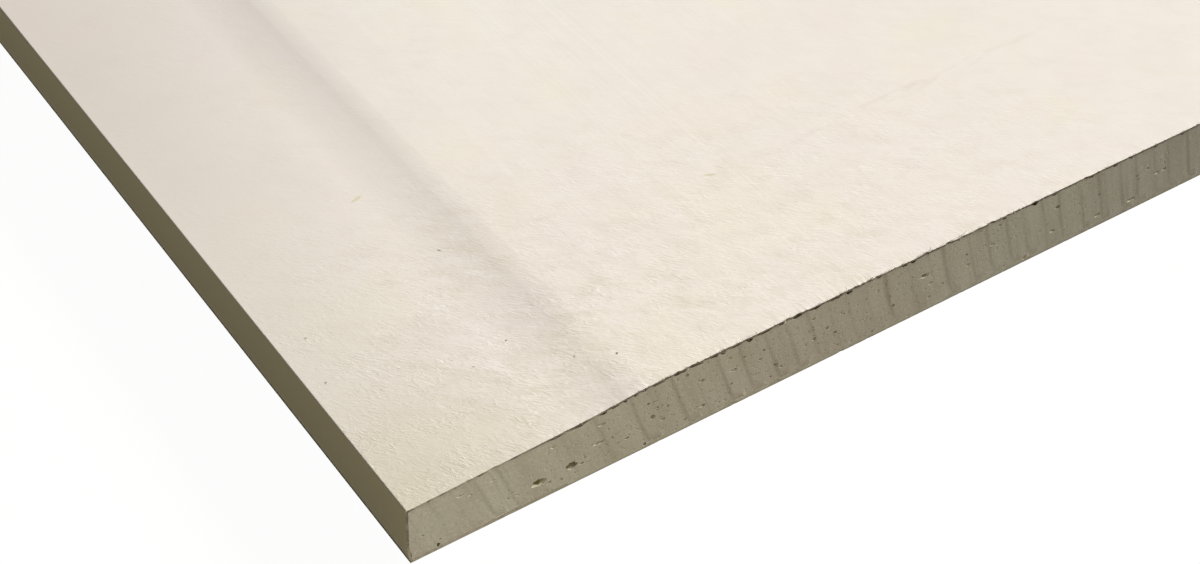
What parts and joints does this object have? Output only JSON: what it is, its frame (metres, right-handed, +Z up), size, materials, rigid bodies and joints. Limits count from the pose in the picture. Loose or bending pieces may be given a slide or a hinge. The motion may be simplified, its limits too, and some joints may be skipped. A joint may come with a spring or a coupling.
{
  "type": "drywall sheet",
  "caption": "Full-size drywall sheet: flat gypsum core bound in ivory face paper, long edges tapered for jointing, ends cut square, plain paper back. Lines walls and ceilings.",
  "frame": {"origin": "middle of the back of the sheet, at the level of the floor it lies on", "axes": "+X across the width, +Y along the length and the tapered edges, +Z up through the thickness to the face"},
  "size_m": [1.2, 2.4, 0.0125],
  "materials": {
    "gypsum": "matt, cut, with small air voids",
    "face_paper": "matt ivory, fine felted fibres",
    "back_paper": "matt grey-buff, recycled fibres"
  },
  "bodies": {
    "root": {"gypsum_core": "gypsum", "face_paper": "face_paper", "back_paper": "back_paper"}
  },
  "joints": []
}
